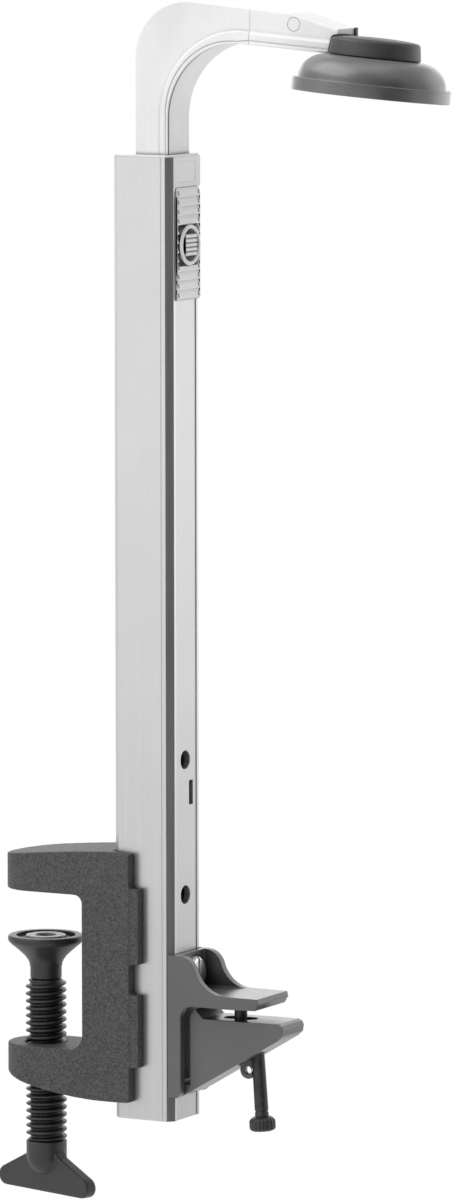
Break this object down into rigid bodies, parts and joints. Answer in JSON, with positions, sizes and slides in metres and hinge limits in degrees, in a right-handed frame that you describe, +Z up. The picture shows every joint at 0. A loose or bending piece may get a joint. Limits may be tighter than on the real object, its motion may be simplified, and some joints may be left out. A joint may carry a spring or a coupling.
{
  "type": "airbrush holder stand",
  "caption": "Bench-clamped telescopic stand: column with a push-button sliding gooseneck mast, bell-shaped head, screw clamp and a small pinch bracket.",
  "frame": {"origin": "centre of the round end of the upper jaw's underside, on the clamp screw's axis, in the plane that rests on the bench", "axes": "+Z up along the column, +X from the clamp screw to the column and along the mast's arm, +Y to the back"},
  "size_m": [0.2217, 0.0684, 0.5241],
  "materials": {
    "column_metal": "satin anodised extrusion",
    "strip_metal": "satin anodised strip",
    "guide_plastic": "moulded, light grey",
    "grip_plastic": "moulded, light grey",
    "mast_plastic": "fine moulded satin, light grey",
    "steel": "plain zinc-plated",
    "black_steel": "black oxide",
    "screw_head_metal": "turned and plated",
    "head_plastic": "moulded, black",
    "bell_rubber": "satin black rubber",
    "clamp_plastic": "coarse grain, glass-filled, black",
    "screw_plastic": "moulded, black",
    "pad_plastic": "moulded, black",
    "bracket_plastic": "satin gloss, dark grey",
    "knob_plastic": "knurled, black"
  },
  "bodies": {
    "stand": {"column_tube": "column_metal", "front_strip": "strip_metal", "top_guide": "guide_plastic", "column_end_plug": "guide_plastic", "grip_plate": "grip_plastic", "button_spring": "steel", "rocker_pin": "steel", "clamp_frame": "clamp_plastic", "clamp_bolts": "black_steel", "clamp_nut_plate": "steel", "bracket_body": "bracket_plastic", "bracket_screw": "screw_head_metal", "bracket_nut": "steel", "jaw_pin": "steel", "guide_stud": "black_steel"},
    "mast": {"mast_arm": "mast_plastic", "mast_foot": "guide_plastic", "arm_nose": "mast_plastic", "nose_pin": "mast_plastic", "head_carrier": "steel", "bell_cap": "head_plastic", "bell_screw": "steel", "bell_nut": "steel"},
    "bell": {"bell_cup": "bell_rubber"},
    "release_button": {"release_button": "grip_plastic"},
    "lock_rocker": {"lock_rocker": "steel"},
    "lock_shoe": {"lock_shoe": "guide_plastic"},
    "pressure_pad": {"pressure_pad": "screw_plastic", "pad_insert": "pad_plastic"},
    "clamp_screw": {"clamp_spindle": "screw_plastic", "wing_handle": "screw_plastic", "handle_pin": "steel", "pad_screw": "black_steel"},
    "pinch_jaw": {"pinch_jaw": "bracket_plastic", "thumb_nut": "steel"},
    "thumb_foot": {"thumb_foot": "black_steel"},
    "thumb_screw": {"thumb_screw": "black_steel", "thumb_knob": "knob_plastic"}
  },
  "joints": [
    {"name": "mast_slide", "type": "slide", "parent": "stand", "child": "mast", "axis": [0, 0, 1], "range_m": [-0.018, 0.18]},
    {"name": "bell_swivel", "type": "hinge", "parent": "mast", "child": "bell", "pos_m": [0.1596, 0.00094, 0.3495], "axis": [0.0821, 0.0652, 0.9945], "continuous": true},
    {"name": "button_press", "type": "slide", "parent": "stand", "child": "release_button", "axis": [-1, 0, 0], "range_m": [0, 0.0008]},
    {"name": "rocker_tilt", "type": "hinge", "parent": "stand", "child": "lock_rocker", "pos_m": [0.06745, 0.0033, 0.2716], "axis": [0, -1, 0], "range_deg": [0, 6.55]},
    {"name": "shoe_release", "type": "slide", "parent": "stand", "child": "lock_shoe", "axis": [1, 0, 0], "range_m": [0, 0.0008]},
    {"name": "clamp_travel", "type": "slide", "parent": "stand", "child": "pressure_pad", "axis": [0, 0, 1], "range_m": [-0.036, 0.0205]},
    {"name": "clamp_screw_turn", "type": "hinge", "parent": "pressure_pad", "child": "clamp_screw", "pos_m": [0, 0, 0], "axis": [0, 0, 1], "range_deg": [-3990, 2272]},
    {"name": "jaw_hinge", "type": "hinge", "parent": "stand", "child": "pinch_jaw", "pos_m": [0.0719, 0.0023, -0.0834], "axis": [0, -1, 0], "range_deg": [-6, 3.5]},
    {"name": "thumb_travel", "type": "slide", "parent": "pinch_jaw", "child": "thumb_foot", "axis": [-0.0698, 0, 0.9976], "range_m": [-0.004, 0.003]},
    {"name": "thumb_screw_turn", "type": "hinge", "parent": "thumb_foot", "child": "thumb_screw", "pos_m": [0.1038, 0.0023, -0.0575], "axis": [-0.0698, 0, 0.9976], "range_deg": [-1801, 1351]}
  ],
  "couplings": [
    {"joint": "rocker_tilt", "follows": "button_press", "rad_per_m": 142},
    {"joint": "shoe_release", "follows": "button_press", "ratio": 1},
    {"joint": "clamp_screw_turn", "follows": "clamp_travel", "rad_per_m": 1933.3},
    {"joint": "thumb_screw_turn", "follows": "thumb_travel", "rad_per_m": 7854}
  ]
}
